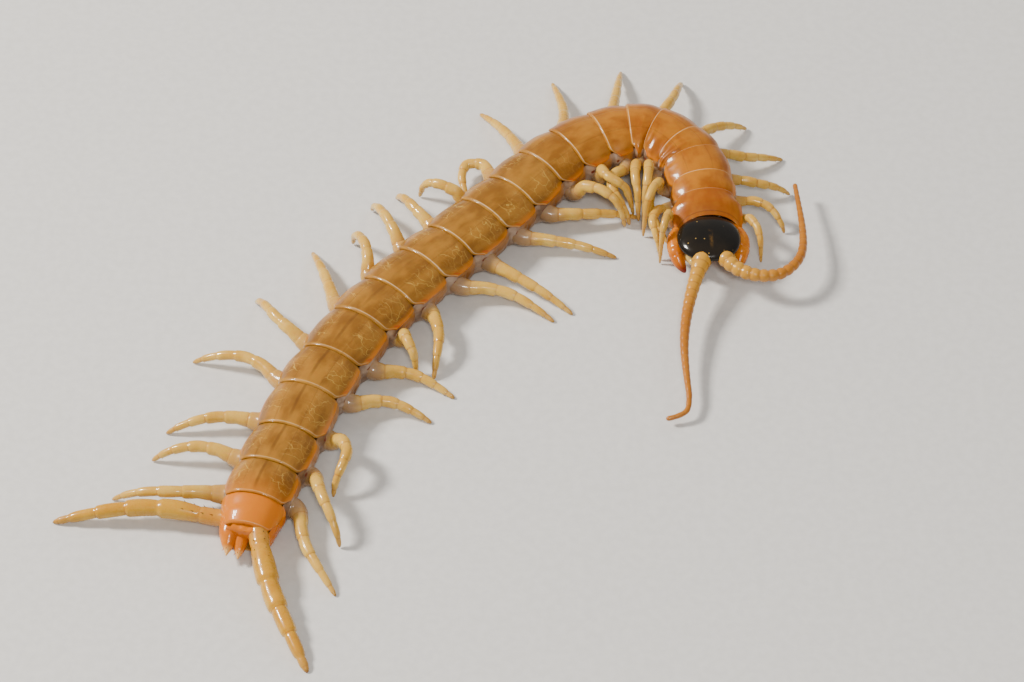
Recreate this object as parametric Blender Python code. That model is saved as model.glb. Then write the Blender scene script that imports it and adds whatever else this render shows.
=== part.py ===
"""Giant centipede, life size, lying with its front end curled back beside its body.

The frame has +X to the right, +Y away and +Z up. The floor is z = 0, and the origin
is below the middle of the space that the whole animal takes. All sizes are in metres.
"""
import math

import bmesh
import bpy
from mathutils import Vector

MM = 0.001
GAP = 0.3 * MM
WELD = 0.001 * MM
FLOOR = Vector((0, 0, 0))
DOWN = Vector((0, 0, -1))

# The rear end of the trunk, which the rest of the body is laid out from
TAIL_END = (-22.51 * MM, -32.59 * MM)

# Each back plate from the first to the last: its length in mm, its heading in degrees
# and how far its belly is held off the floor in mm
PLATES = {
    1: (3.0, -84, 1.4), 2: (2.9, -84, 1.5), 3: (4.5, -76, 1.5), 4: (2.3, -60, 1.5),
    5: (4.4, -41, 1.5), 6: (3.0, -10, 1.5), 7: (4.2, 14, 1.4), 8: (4.9, 29, 1.1),
    9: (4.5, 41.4, 0.7), 10: (5.65, 49.4, 0.3), 11: (5.15, 48.4, 0.1), 12: (6.45, 49.4, 0.0),
    13: (5.1, 48, 0.0), 14: (6.5, 51, 0.0), 15: (5.8, 55, 0.0), 16: (7.1, 62, 0.0),
    17: (6.2, 65, 0.0), 18: (7.0, 72, 0.0), 19: (5.9, 71, 0.0), 20: (5.4, 74, 0.0),
    21: (4.6, 78, 0.0),
}
LAST = 21

# Trunk in cross section
HALF_WIDTH = 3.9 * MM
MID_SWELL = 0.75 * MM
CREST_HEIGHT = 6.0 * MM
NECK_CREST = 4.7 * MM
# Half of the outline from the belly plate's edge to the crest, as shares of the
# half width and of the height
OUTLINE = (
    (0.58, 0.0),
    (0.86, 0.12),
    (0.93, 0.39),
    (0.99, 0.48),
    (1.0, 0.55),
    (0.88, 0.76),
    (0.52, 0.94),
)
# Along each plate: share of its length from the front edge, scale of the section's
# width and scale of its height. The first plate is a wide collar that slopes down in front.
PLATE_SCALES = ((0.0, 0.91, 0.94), (0.22, 0.97, 0.98), (0.6, 1.0, 1.0), (1.0, 0.965, 1.0))
COLLAR_SCALES = ((0.0, 1.04, 0.86), (0.3, 1.11, 0.94), (0.7, 1.07, 1.0), (1.0, 0.97, 1.0))
STEP_BACK = 0.14 * MM

# Each leg pair, the left leg and then the right one: sweep and bend in degrees, arch in
# mm and reach. Sweep turns the whole leg forward of straight out, bend turns its outer
# part forward of its inner part, arch is how far its middle rises, and reach is its
# length as a share of the usual one.
POSES = {
    1: ((58, 28, 2.6, 0.96), (67, 0, 4.4, 1.0)),
    2: ((6, 50, 1.4, 0.84), (39, 70, 2.4, 1.0)),
    3: ((18, -12, 0.9, 0.82), (49, 3, 4.6, 1.0)),
    4: ((23, -13, 0.4, 0.89), (42, 46, 0.0, 1.0)),
    5: ((2, 22, 0.7, 0.84), (42, -12, 4.4, 1.0)),
    6: ((18, -15, 1.1, 1.08), (-4, 25, 3.6, 1.0)),
    7: ((23, -2, 0.6, 1.2), (-62, 91, 2.2, 1.0)),
    8: ((35, -19, 0.4, 1.2), (-37, 89, 4.3, 1.0)),
    9: ((20, -12, 0.6, 1.09), (25, -11, 3.6, 1.0)),
    10: ((38, -185, 1.0, 1.0), (44, 8, 1.0, 1.06)),
    11: ((-21, 9, 2.9, 0.81), (37, -6, 0.8, 1.08)),
    12: ((8, 14, 1.8, 0.83), (6, -1, 0.9, 1.1)),
    13: ((24, 0, 2.6, 1.0), (42, -34, 0.9, 1.09)),
    14: ((52, -28, 3.1, 0.92), (-32, -28, 1.6, 0.88)),
    15: ((40, -3, 1.1, 1.0), (-46, 20, 3.0, 0.62)),
    16: ((8, 29, 2.4, 1.0), (39, -45, 0.4, 0.83)),
    17: ((24, -42, 1.6, 1.0), (43, -44, 0.8, 0.79)),
    18: ((-8, -20, 1.3, 0.87), (-25, -77, 3.0, 0.82)),
    19: ((3, -25, 1.8, 0.84), (-61, 15, 3.0, 0.91)),
    20: ((-24, 18, 2.0, 1.0), (-69, 27, 0.8, 0.93)),
    21: ((0, -16, 1.1, 0.98), (-66, 12, 0.7, 0.97)),
}

# Walking legs: the first ones are shorter and thinner, the rear ones longer
LEG_LENGTH = 10.2 * MM
LEG_SHORTER = 0.2
LEG_GROWTH = 0.0095 * MM
LEG_RADIUS = 0.5 * MM
LEG_SWELL = 0.27 * MM
LEG_SWELL_RUN = 6
# Distance of a leg's hip joint from the trunk's middle at the ends, and what the middle
# of the trunk adds to it
HIP_SIDE = 4.7 * MM
HIP_SWELL = 0.4 * MM
# How far forward of a plate's rear edge a leg is rooted, as a share of its length: in
# front of the first bound, behind the second, and in between from one to the other
LEG_ROOT_NECK = 0.7
LEG_ROOT_TRUNK = 0.3
NECK_END = 6
TRUNK_START = 9
LEG_ROOT_HEIGHT = 0.27
TOE_HEIGHT = 0.12 * MM
LEAST_ADVANCE = 0.1
# Stations down a leg: share of its length, share of its radius, share of its bend
LEG_STATIONS = (
    (0.20, 1.00, 0.05),
    (0.28, 0.84, 0.20),
    (0.42, 0.95, 0.40),
    (0.50, 0.78, 0.70),
    (0.62, 0.84, 0.85),
    (0.70, 0.66, 0.95),
    (0.82, 0.60, 0.97),
    (0.88, 0.46, 1.00),
    (0.96, 0.38, 1.00),
    (1.00, 0.16, 1.00),
)
ROOT_NARROWING = 0.9
ROOT_WIDENING = 0.25
HIND_LENGTH = 19.4 * MM
HIND_RADIUS = 1.3 * MM
HIND_COXA = 0.7 * MM
HIND_ROOT_SIDE = 1.45 * MM
HIND_ROOT_HEIGHT = 2.1 * MM
HIND_ROOT_SHARE = 0.58

# Rear of the last segment: it narrows over the last stretch, and its rear face leans
TAIL_SHOULDER = 0.35
TAIL_SHOULDER_SCALE = 0.98
TAIL_SCALE = 0.76
TAIL_SLANT = 2.3 * MM
# Pointed processes on the rear face: how far left of the middle, height, length, radius
CONES = (
    (2.35 * MM, 1.5 * MM, 2.5 * MM, 0.75 * MM),
    (0.85 * MM, 0.9 * MM, 2.2 * MM, 0.55 * MM),
)
CONE_SUNK = 1.0 * MM
CONE_DROP = 0.12
CONE_TIP = 0.1 * MM

# Head plate and its parts, from the back edge of the plate forward
HEAD_HEADING = -87
HEAD_LIFT = 1.3 * MM
HEAD_HALF_LENGTH = 3.5 * MM
HEAD_HALF_WIDTH = 3.85 * MM
HEAD_SQUARENESS = 2.15
HEAD_RIM = 3.1 * MM
HEAD_RISE = 1.4 * MM
HEAD_DEPTH = 0.9 * MM
HEAD_MIDDLE = 3.35 * MM
SOCKET_SIDE = {"left": 1.65 * MM, "right": 1.2 * MM}
SOCKET_FORWARD = 6.6 * MM
SOCKET_RADIUS = 0.9 * MM
SOCKET_ROOT_RADIUS = 0.72 * MM
SOCKET_SUNK = 2.2 * MM

# Plate below the head that carries the poison claws
BASE_SUNK = 1.0 * MM
BASE_LENGTH = 3.4 * MM
BASE_REAR_HALF = 3.1 * MM
BASE_FRONT_HALF = 2.4 * MM
# Half of its section from the belly edge up: share of the half width, height
BASE_OUTLINE = ((0.8, 0.1 * MM), (1.0, 0.5 * MM), (1.0, 1.5 * MM), (0.85, 1.85 * MM))

# Poison claws: their roots beside the plate below the head
CLAW_ROOT_FORWARD = 1.6 * MM
CLAW_ROOT_HEIGHT = 1.0 * MM
CLAW_ROOT_RADIUS = 0.87 * MM
CLAW_HIP = 0.5 * MM
CLAW_HIP_RADIUS = 0.95 * MM
# Then distance forward, distance to the side, height and radius, in mm
CLAW_STATIONS = (
    (2.3, 4.15, 2.3, 0.95),
    (3.4, 4.6, 2.3, 0.98),
    (4.6, 4.55, 2.2, 0.86),
    (5.5, 4.2, 2.0, 0.68),
    (6.2, 3.75, 1.75, 0.46),
    (6.7, 3.2, 1.5, 0.14),
)

# Antennae: distance from the head in mm, heading in degrees, height in mm
FEELER_LENGTH = 26.5
FEELER_THICK = 0.7
FEELER_THIN = 0.28
FEELER_TAPER = 1.45
FEELER_ARTICLES = 20
FEELER_WAIST = 0.86
FEELERS = {
    "left": ((0, -74, 4.2), (2, -46, 4.1), (5, -14, 3.9), (7, 7, 3.8), (8.5, 28, 3.7),
             (10, 46, 3.7), (12, 64, 3.6), (14, 80, 3.5), (16, 88, 3.4), (20, 93, 3.2),
             (27, 94, 2.6)),
    "right": ((0, -108, 4.1), (4, -106, 3.5), (8, -101, 2.9), (12, -95, 2.6),
              (16, -88, 2.2), (21, -85, 1.8), (23.5, -100, 1.4), (24.5, -150, 1.2),
              (27, -178, 0.9)),
}


def material(name, colour, roughness):
    made = bpy.data.materials.new(name)
    made.use_nodes = True
    shader = made.node_tree.nodes["Principled BSDF"]
    shader.inputs["Base Color"].default_value = (*colour, 1.0)
    shader.inputs["Roughness"].default_value = roughness
    shader.inputs["Metallic"].default_value = 0.0
    return made


def heading_vector(degrees):
    angle = math.radians(degrees)
    return Vector((math.cos(angle), math.sin(angle), 0.0))


def left_of(degrees):
    return heading_vector(degrees + 90)


def add_mesh(name, mesh_data, colour):
    mesh = bpy.data.meshes.new(name)
    mesh_data.to_mesh(mesh)
    mesh_data.free()
    mesh.materials.append(colour)
    mesh.shade_smooth()
    made = bpy.data.objects.new(name, mesh)
    animal.objects.link(made)
    return made


def loft(sections):
    """Closed skin through rings of equal count, with a flat cap on each end."""
    shape = bmesh.new()
    rings = [[shape.verts.new(point) for point in ring] for ring in sections]
    for near, far in zip(rings, rings[1:]):
        for i, here in enumerate(near):
            j = (i + 1) % len(near)
            shape.faces.new((here, near[j], far[j], far[i]))
    shape.faces.new(rings[0])
    shape.faces.new(rings[-1])
    bmesh.ops.recalc_face_normals(shape, faces=shape.faces)
    return shape


def tube(points, radii, resolution):
    """Round tapering limb along the points, with welded caps."""
    curve = bpy.data.curves.new("limb", "CURVE")
    curve.dimensions = "3D"
    curve.bevel_depth = 1.0
    curve.bevel_resolution = resolution
    curve.use_fill_caps = True
    line = curve.splines.new("POLY")
    line.points.add(len(points) - 1)
    for spot, place, radius in zip(line.points, points, radii):
        spot.co = (*place, 1.0)
        spot.radius = radius
    holder = bpy.data.objects.new("limb", curve)
    animal.objects.link(holder)
    view = bpy.context.evaluated_depsgraph_get()
    mesh = bpy.data.meshes.new_from_object(holder.evaluated_get(view))
    bpy.data.objects.remove(holder, do_unlink=True)
    shape = bmesh.new()
    shape.from_mesh(mesh)
    bpy.data.meshes.remove(mesh)
    bmesh.ops.remove_doubles(shape, verts=shape.verts, dist=WELD)
    bmesh.ops.recalc_face_normals(shape, faces=shape.faces)
    return shape


def cut(shape, point, normal):
    """Take away what lies past a plane and close the flat that is left."""
    parts = shape.verts[:] + shape.edges[:] + shape.faces[:]
    bmesh.ops.bisect_plane(
        shape, geom=parts, dist=WELD, plane_co=point, plane_no=normal, clear_outer=True
    )
    rim = [edge for edge in shape.edges if edge.is_boundary]
    if rim:
        bmesh.ops.edgeloop_fill(shape, edges=rim)
    bmesh.ops.recalc_face_normals(shape, faces=shape.faces)


def keep_largest(shape):
    """Drop every closed surface but the one with the most faces."""
    left = set(shape.faces)
    surfaces = []
    while left:
        surface = set()
        front = [left.pop()]
        while front:
            face = front.pop()
            surface.add(face)
            for edge in face.edges:
                for other in edge.link_faces:
                    if other in left:
                        left.remove(other)
                        front.append(other)
        surfaces.append(surface)
    surfaces.sort(key=len)
    for surface in surfaces[:-1]:
        bmesh.ops.delete(shape, geom=list(surface), context="FACES")


def fuse(base, pieces):
    """Join closed pieces to a node and keep its largest closed surface."""
    group = bpy.data.collections.new("joined pieces")
    bpy.context.scene.collection.children.link(group)
    for piece in pieces:
        animal.objects.unlink(piece)
        group.objects.link(piece)
    union = base.modifiers.new("join", "BOOLEAN")
    union.operation = "UNION"
    union.operand_type = "COLLECTION"
    union.collection = group
    union.solver = "EXACT"
    view = bpy.context.evaluated_depsgraph_get()
    mesh = bpy.data.meshes.new_from_object(base.evaluated_get(view))
    base.modifiers.clear()
    shape = bmesh.new()
    shape.from_mesh(mesh)
    keep_largest(shape)
    shape.to_mesh(mesh)
    shape.free()
    base.data = mesh
    for piece in pieces:
        bpy.data.objects.remove(piece, do_unlink=True)
    bpy.data.collections.remove(group)


def swelling(number):
    """How the trunk swells: 0 at its first and last plate, 1 halfway."""
    return math.sqrt(max(0.0, math.sin(math.pi * (number - 1) / (LAST - 1))))


def half_width(number):
    return HALF_WIDTH + MID_SWELL * swelling(number)


def crest(number):
    share = min(1.0, number / NECK_END)
    return NECK_CREST + (CREST_HEIGHT - NECK_CREST) * share


def trunk_ring(place, heading, number, wide_scale, tall_scale):
    """Points of one cross section, from the belly's left edge over the back."""
    side = left_of(heading)
    wide = half_width(number) * wide_scale
    tall = crest(number) * tall_scale
    left = [(wide * u, tall * v) for u, v in OUTLINE]
    right = [(-u, v) for u, v in reversed(left)]
    return [place + side * u + Vector((0, 0, v)) for u, v in left + [(0.0, tall)] + right]


def lay_out():
    """Rear edge of every plate, from the tail forward to the head's back edge."""
    place = Vector((*TAIL_END, 0.0))
    edges = {LAST: place}
    for number in range(LAST, 0, -1):
        length, heading, lift = PLATES[number]
        place = place + heading_vector(heading) * length * MM
        ahead = PLATES[number - 1][2] if number > 1 else lift
        place.z = (lift + ahead) / 2 * MM
        edges[number - 1] = place.copy()
    return edges


def joint_heading(number):
    """Heading across the joint behind a plate."""
    ahead = PLATES[number][1] if number else HEAD_HEADING
    behind = PLATES[number + 1][1] if number < LAST else PLATES[LAST][1]
    return (ahead + behind) / 2


def plate_rings(number, edges, front_gap, rear_gap):
    """Cross sections of one plate: narrow at its front edge, widest behind its middle."""
    front_heading = joint_heading(number - 1)
    rear_heading = joint_heading(number)
    front = edges[number - 1] - heading_vector(front_heading) * front_gap
    rear = edges[number] + heading_vector(rear_heading) * rear_gap
    turn = rear_heading - front_heading
    rings = []
    for share, wide, tall in COLLAR_SCALES if number == 1 else PLATE_SCALES:
        heading = front_heading + share * turn
        rings.append(trunk_ring(front.lerp(rear, share), heading, number, wide, tall))
    return rings


def slanted(point):
    """The last segment's rear face leans: its lower edge lies further forward."""
    tall = crest(LAST) * TAIL_SCALE
    return point + heading_vector(PLATES[LAST][1]) * TAIL_SLANT * (1 - point.z / tall)


def trunk_length(name, numbers, edges):
    """A stretch of trunk of one or two plates, flat at both ends."""
    rings = []
    for number in numbers:
        first = number == numbers[0]
        last = number == numbers[-1]
        front_gap = GAP / 2 if first else STEP_BACK
        rear_gap = GAP / 2 if last else 0.0
        rings += plate_rings(number, edges, front_gap, rear_gap)
    if numbers[-1] == LAST:
        tail = edges[LAST]
        heading = PLATES[LAST][1]
        shoulder = tail.lerp(edges[LAST - 1], TAIL_SHOULDER)
        wide = TAIL_SHOULDER_SCALE
        rings[-1] = trunk_ring(shoulder, heading, LAST, wide, wide)
        face = trunk_ring(tail, heading, LAST, TAIL_SCALE, TAIL_SCALE)
        rings.append([slanted(point) for point in face])
    return add_mesh(name, loft(rings), TRUNK)


def head_point(forward, side, height):
    """A place given from the middle of the head's back edge, in metres."""
    way = heading_vector(HEAD_HEADING)
    level = Vector((0, 0, height - edges[0].z))
    return edges[0] + way * forward + left_of(HEAD_HEADING) * side + level


def claw_base():
    """Plate below the head that carries the poison claws, sunk into the first length."""
    rings = []
    for forward, half in ((-BASE_SUNK, BASE_REAR_HALF), (BASE_LENGTH, BASE_FRONT_HALF)):
        left = [(half * u, v) for u, v in BASE_OUTLINE]
        right = [(-u, v) for u, v in reversed(left)]
        rings.append([head_point(forward, u, v + HEAD_LIFT) for u, v in left + right])
    return add_mesh("claw base", loft(rings), TRUNK)


def head():
    """Flattened oval head capsule, cut flat where it meets the trunk."""
    shape = bmesh.new()
    bmesh.ops.create_uvsphere(shape, u_segments=24, v_segments=12, radius=1.0)
    for vert in shape.verts:
        u, v, w = vert.co
        spread = (abs(u) ** HEAD_SQUARENESS + abs(v) ** HEAD_SQUARENESS) ** (1 / HEAD_SQUARENESS)
        flat = math.hypot(u, v)
        squared = flat / spread if spread > 0.001 else 1.0
        height = HEAD_RIM + w * (HEAD_RISE if w > 0 else HEAD_DEPTH) + HEAD_LIFT
        forward = HEAD_MIDDLE + v * squared * HEAD_HALF_LENGTH
        vert.co = head_point(forward, u * squared * HEAD_HALF_WIDTH, height)
    back = head_point(GAP / 2, 0, 0)
    cut(shape, back, -heading_vector(HEAD_HEADING))
    return add_mesh("head", shape, HEAD)


def feeler_path(word):
    """Points, headings and heights along an antenna, a point at each waist and swelling."""
    side = 1 if word == "left" else -1
    stations = FEELERS[word]
    place = head_point(SOCKET_FORWARD, side * SOCKET_SIDE[word], 0)
    points = []
    radii = []
    steps = FEELER_ARTICLES * 2
    done = 0.0
    for step in range(steps + 1):
        along = FEELER_LENGTH * step / steps
        for near, far in zip(stations, stations[1:]):
            if near[0] <= along <= far[0]:
                share = (along - near[0]) / (far[0] - near[0])
                heading = near[1] + (far[1] - near[1]) * share
                height = near[2] + (far[2] - near[2]) * share
        place = place + heading_vector(heading) * (along - done) * MM
        done = along
        points.append(Vector((place.x, place.y, height * MM)))
        thick = FEELER_THIN + FEELER_THICK * (1 - along / FEELER_LENGTH) ** FEELER_TAPER
        radii.append(thick * MM * (1.0 if step % 2 else FEELER_WAIST))
    return points, radii


def antenna(word):
    """Tapering antenna of short articles, from its socket on the front of the head."""
    points, radii = feeler_path(word)
    start = (points[1] - points[0]).normalized()
    ends = [points[0] - start * SOCKET_SUNK, points[0]]
    holder = tube(ends, [SOCKET_ROOT_RADIUS, SOCKET_RADIUS], 2)
    points[0] = points[0] + start * GAP
    add_mesh("antenna_" + word, tube(points, radii, 2), FEELER)
    return add_mesh("socket " + word, holder, HEAD)


def claw(word):
    """Poison claw: stout base beside its plate, curving round the head to a point."""
    side = 1 if word == "left" else -1
    narrowing = BASE_REAR_HALF - BASE_FRONT_HALF
    length = BASE_LENGTH + BASE_SUNK
    half = BASE_REAR_HALF - narrowing * (CLAW_ROOT_FORWARD + BASE_SUNK) / length
    angle = math.atan2(narrowing, length)
    way = heading_vector(HEAD_HEADING) * math.sin(angle)
    way += left_of(HEAD_HEADING) * side * math.cos(angle)
    flat = head_point(CLAW_ROOT_FORWARD, side * half, HEAD_LIFT + CLAW_ROOT_HEIGHT)
    root = flat + way * GAP
    points = [root, root + way * CLAW_HIP]
    radii = [CLAW_ROOT_RADIUS, CLAW_HIP_RADIUS]
    for forward, out, height, radius in CLAW_STATIONS:
        points.append(head_point(forward * MM, side * out * MM, height * MM))
        radii.append(radius * MM)
    add_mesh("forcipule_" + word, tube(points, radii, 2), CLAW)


def hind_leg(word, edges):
    """Stout last leg: the left one swings out sideways, the right one trails behind."""
    heading = PLATES[LAST][1]
    out = left_of(heading) * (1 if word == "left" else -1)
    if word == "left":
        height_share = HIND_ROOT_HEIGHT / crest(LAST)
        root, face = socket(LAST, 1, edges, HIND_ROOT_SHARE, height_share)
        sweep, bend, arch, share = POSES[LAST][0]
    else:
        drop = TAIL_SLANT / (crest(LAST) * TAIL_SCALE)
        face = -(heading_vector(heading) + Vector((0, 0, drop))).normalized()
        root = edges[LAST] + out * HIND_ROOT_SIDE + Vector((0, 0, HIND_ROOT_HEIGHT))
        root = slanted(root) + face * GAP
        sweep, bend, arch, share = POSES[LAST][1]
    pose = (out, heading_vector(heading), sweep, bend)
    points, radii = leg_path(
        root, face, pose, HIND_LENGTH, arch * MM, HIND_RADIUS, HIND_COXA, ROOT_NARROWING
    )
    shape = tube(points, radii, 2)
    cut(shape, FLOOR, DOWN)
    add_mesh(f"leg_{word}_{LAST}", shape, LIMB)


def tail_cones(edges):
    """Pointed processes at the rear of the last segment, sunk into it."""
    heading = PLATES[LAST][1]
    cones = []
    way = (-heading_vector(heading) + Vector((0, 0, -CONE_DROP))).normalized()
    for side, height, length, radius in CONES:
        root = slanted(edges[LAST] + left_of(heading) * side + Vector((0, 0, height)))
        points = [root - way * CONE_SUNK, root + way * radius, root + way * length]
        cones.append(add_mesh("cone", tube(points, [radius, radius, CONE_TIP], 1), TRUNK))
    return cones


def leg_path(root, face, pose, length, arch, radius, coxa, narrowing):
    """Points and radii down a leg, from its flat root to the toe on the floor."""
    out, forward, sweep, bend = pose
    hip = root + face * coxa
    points = [root, hip]
    radii = [radius * narrowing, radius * narrowing]
    place = hip.copy()
    share_before = 0.0
    height_before = hip.z
    for share, thick, turned in LEG_STATIONS:
        angle = math.radians(sweep + bend * turned)
        way = out * math.cos(angle) + forward * math.sin(angle)
        height = hip.z + (TOE_HEIGHT - hip.z) * share + arch * 4 * share * (1 - share)
        rise = height - height_before
        step = (share - share_before) * length
        flat = math.sqrt(max(step * step - rise * rise, LEAST_ADVANCE * step * step))
        place = place + way * flat
        points.append(Vector((place.x, place.y, height)))
        radii.append(radius * thick)
        share_before = share
        height_before = height
    return points, radii


def wide_scale(number, share):
    """Scale of a plate's width at a share of its length from the front edge."""
    stations = COLLAR_SCALES if number == 1 else PLATE_SCALES
    for near, far in zip(stations, stations[1:]):
        if near[0] <= share <= far[0]:
            part = (share - near[0]) / (far[0] - near[0])
            return near[1] + (far[1] - near[1]) * part


def socket(number, side, edges, share_along, height_share):
    """Middle of a leg's flat root beside the trunk, and the way that the flat faces."""
    rear_heading = joint_heading(number)
    heading = rear_heading + (joint_heading(number - 1) - rear_heading) * share_along
    middle = edges[number].lerp(edges[number - 1], share_along)
    out = left_of(heading) * side
    wide = half_width(number) * wide_scale(number, 1 - share_along)
    tall = crest(number)
    low, high = OUTLINE[1], OUTLINE[2]
    share = (height_share - low[1]) / (high[1] - low[1])
    reach = wide * (low[0] + (high[0] - low[0]) * share)
    slope = wide * (high[0] - low[0]) / (tall * (high[1] - low[1]))
    face = (out - Vector((0, 0, slope))).normalized()
    return middle + out * reach + Vector((0, 0, tall * height_share)) + face * GAP, face


def leg(number, side, edges):
    """One walking leg; side is 1 on the animal's left and -1 on its right."""
    heading = PLATES[number][1]
    neck = min(1.0, max(0.0, (TRUNK_START - number) / (TRUNK_START - NECK_END)))
    along = LEG_ROOT_TRUNK + (LEG_ROOT_NECK - LEG_ROOT_TRUNK) * neck
    root, face = socket(number, side, edges, along, LEG_ROOT_HEIGHT)
    out = left_of(heading) * side
    sweep, bend, arch, share = POSES[number][0 if side > 0 else 1]
    grown = LEG_LENGTH * (1 - LEG_SHORTER / number) + LEG_GROWTH * number ** 2
    radius = LEG_RADIUS + LEG_SWELL * (1 - math.exp(-number / LEG_SWELL_RUN))
    coxa = HIP_SIDE + HIP_SWELL * swelling(number)
    coxa -= (root - edges[number].lerp(edges[number - 1], along)).dot(out)
    narrowing = ROOT_NARROWING + ROOT_WIDENING * (1 - neck)
    pose = (out, heading_vector(heading), sweep, bend)
    return leg_path(root, face, pose, grown * share, arch * MM, radius, coxa, narrowing)


for item in list(bpy.data.objects):
    bpy.data.objects.remove(item, do_unlink=True)
animal = bpy.data.collections.new("giant_centipede")
bpy.context.scene.collection.children.link(animal)

TRUNK = material("trunk", (0.36, 0.24, 0.08), 0.3)
HEAD = material("head", (0.03, 0.02, 0.015), 0.2)
LIMB = material("legs", (0.72, 0.5, 0.18), 0.35)
CLAW = material("forcipules", (0.62, 0.2, 0.03), 0.3)
FEELER = material("antennae", (0.75, 0.4, 0.1), 0.35)

edges = lay_out()

# Trunk in lengths of two plates, and the last plate on its own
for first in range(1, LAST, 2):
    stretch = trunk_length(f"trunk_{first:02d}_{first + 1:02d}", (first, first + 1), edges)
    if first == 1:
        fuse(stretch, [claw_base()])
fuse(trunk_length("trunk_21", (LAST,), edges), tail_cones(edges))

# Head with its antennae and poison claws
capsule = head()
fuse(capsule, [antenna("left"), antenna("right")])
claw("left")
claw("right")

# Walking legs, a pair to each trunk segment, and the stout last pair
for number in range(1, LAST):
    for side, word in ((1, "left"), (-1, "right")):
        points, radii = leg(number, side, edges)
        shape = tube(points, radii, 1)
        cut(shape, FLOOR, DOWN)
        add_mesh(f"leg_{word}_{number:02d}", shape, LIMB)
hind_leg("left", edges)
hind_leg("right", edges)
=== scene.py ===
"""Giant centipede, life size: the looks of all its parts, laid over the solid model.

The frame is the solid model's: +X to the right, +Y away, +Z up, floor at z = 0, in metres.
The animal is built as it grows: trunk from the head's back edge to the tail, then its
legs, its head, its poison claws and its antennae.
"""
import math

import bmesh
import bpy
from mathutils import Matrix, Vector, noise


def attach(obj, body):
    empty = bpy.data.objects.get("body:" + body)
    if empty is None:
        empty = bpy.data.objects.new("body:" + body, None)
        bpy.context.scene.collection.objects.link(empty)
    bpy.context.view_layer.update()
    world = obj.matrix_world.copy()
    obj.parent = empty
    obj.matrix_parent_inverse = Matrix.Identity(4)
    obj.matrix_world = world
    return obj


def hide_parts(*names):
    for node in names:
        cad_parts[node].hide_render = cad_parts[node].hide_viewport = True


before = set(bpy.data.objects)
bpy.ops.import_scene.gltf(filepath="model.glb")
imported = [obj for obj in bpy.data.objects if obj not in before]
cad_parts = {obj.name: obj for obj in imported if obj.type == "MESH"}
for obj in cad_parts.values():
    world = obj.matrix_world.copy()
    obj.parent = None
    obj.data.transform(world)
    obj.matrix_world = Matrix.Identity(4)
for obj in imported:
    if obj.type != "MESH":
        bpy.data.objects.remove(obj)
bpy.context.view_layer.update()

# Back plates. Each of the 21 trunk segments wears a curved shield of hard cuticle, thin
# enough for light to tint it. Its rear edge lies over the front of the next plate, and
# its sides end in a raised rim above the soft flank.
MM = 0.001
WELD = 0.0005 * MM
UP = Vector((0, 0, 1))
LAST = 21
TAIL_END = (-22.51 * MM, -32.59 * MM)
# Each plate: its length in mm, its heading in degrees and its belly's lift in mm
PLATES = {
    1: (3.0, -84, 1.4), 2: (2.9, -84, 1.5), 3: (4.5, -76, 1.5), 4: (2.3, -60, 1.5),
    5: (4.4, -41, 1.5), 6: (3.0, -10, 1.5), 7: (4.2, 14, 1.4), 8: (4.9, 29, 1.1),
    9: (4.5, 41.4, 0.7), 10: (5.65, 49.4, 0.3), 11: (5.15, 48.4, 0.1), 12: (6.45, 49.4, 0.0),
    13: (5.1, 48, 0.0), 14: (6.5, 51, 0.0), 15: (5.8, 55, 0.0), 16: (7.1, 62, 0.0),
    17: (6.2, 65, 0.0), 18: (7.0, 72, 0.0), 19: (5.9, 71, 0.0), 20: (5.4, 74, 0.0),
    21: (4.6, 78, 0.0),
}
HEAD_HEADING = -87
HALF_WIDTH = 3.9 * MM
MID_SWELL = 0.75 * MM
CREST_HEIGHT = 6.0 * MM
NECK_CREST = 4.7 * MM
NECK_END = 6
TAIL_SCALE = 0.76
PLATE_ACROSS = 72
PLATE_ALONG = 48
PLATE_THICKNESS = 0.09 * MM
PLATE_ROLL = 80
REAR_OVERLAP = 0.22 * MM
REAR_BOW = 0.30 * MM
REAR_CORNER = 1.5 * MM
LIP_START = 0.945
LIP_DROP = 0.045
RIM_RAISE = 0.045 * MM
DENT_DEPTH = 0.05 * MM
WRINKLE_DEPTH = 0.035 * MM
COLLAR_FORWARD = 0.3 * MM
COLLAR_SIDES = 2.0 * MM
TAIL_PLATE_SHORTER = 0.75 * MM


def heading_vector(degrees):
    angle = math.radians(degrees)
    return Vector((math.cos(angle), math.sin(angle), 0.0))


def left_of(degrees):
    return heading_vector(degrees + 90)


def smooth(low, high, value):
    share = min(1.0, max(0.0, (value - low) / (high - low)))
    return share * share * (3 - 2 * share)


def joint_heading(number):
    ahead = PLATES[number][1] if number else HEAD_HEADING
    behind = PLATES[number + 1][1] if number < LAST else PLATES[LAST][1]
    return (ahead + behind) / 2


edges = {LAST: Vector((*TAIL_END, 0.0))}
for number in range(LAST, 0, -1):
    length, heading, lift = PLATES[number]
    ahead = PLATES[number - 1][2] if number > 1 else lift
    place = edges[number] + heading_vector(heading) * length * MM
    place.z = (lift + ahead) / 2 * MM
    edges[number - 1] = place


def body(station):
    """Place and heading at a station: n at the rear edge of plate n, 0 at the head."""
    number = min(LAST, max(1, math.floor(station) + 1))
    share = station - (number - 1)
    front, rear = edges[number - 1], edges[number]
    front_heading, rear_heading = joint_heading(number - 1), joint_heading(number)
    length = (rear - front).length
    square = share * share
    cube = square * share
    place = front * (2 * cube - 3 * square + 1) + rear * (3 * square - 2 * cube)
    place -= heading_vector(front_heading) * length * (cube - 2 * square + share)
    place -= heading_vector(rear_heading) * length * (cube - square)
    return place, front_heading + (rear_heading - front_heading) * share


def half_width(station):
    place = min(1.0, max(0.0, (station - 0.5) / (LAST - 1)))
    return HALF_WIDTH + MID_SWELL * math.sqrt(max(0.0, math.sin(math.pi * place)))


def crest(station):
    share = min(1.0, (station + 0.5) / NECK_END)
    return NECK_CREST + (CREST_HEIGHT - NECK_CREST) * share


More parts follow.
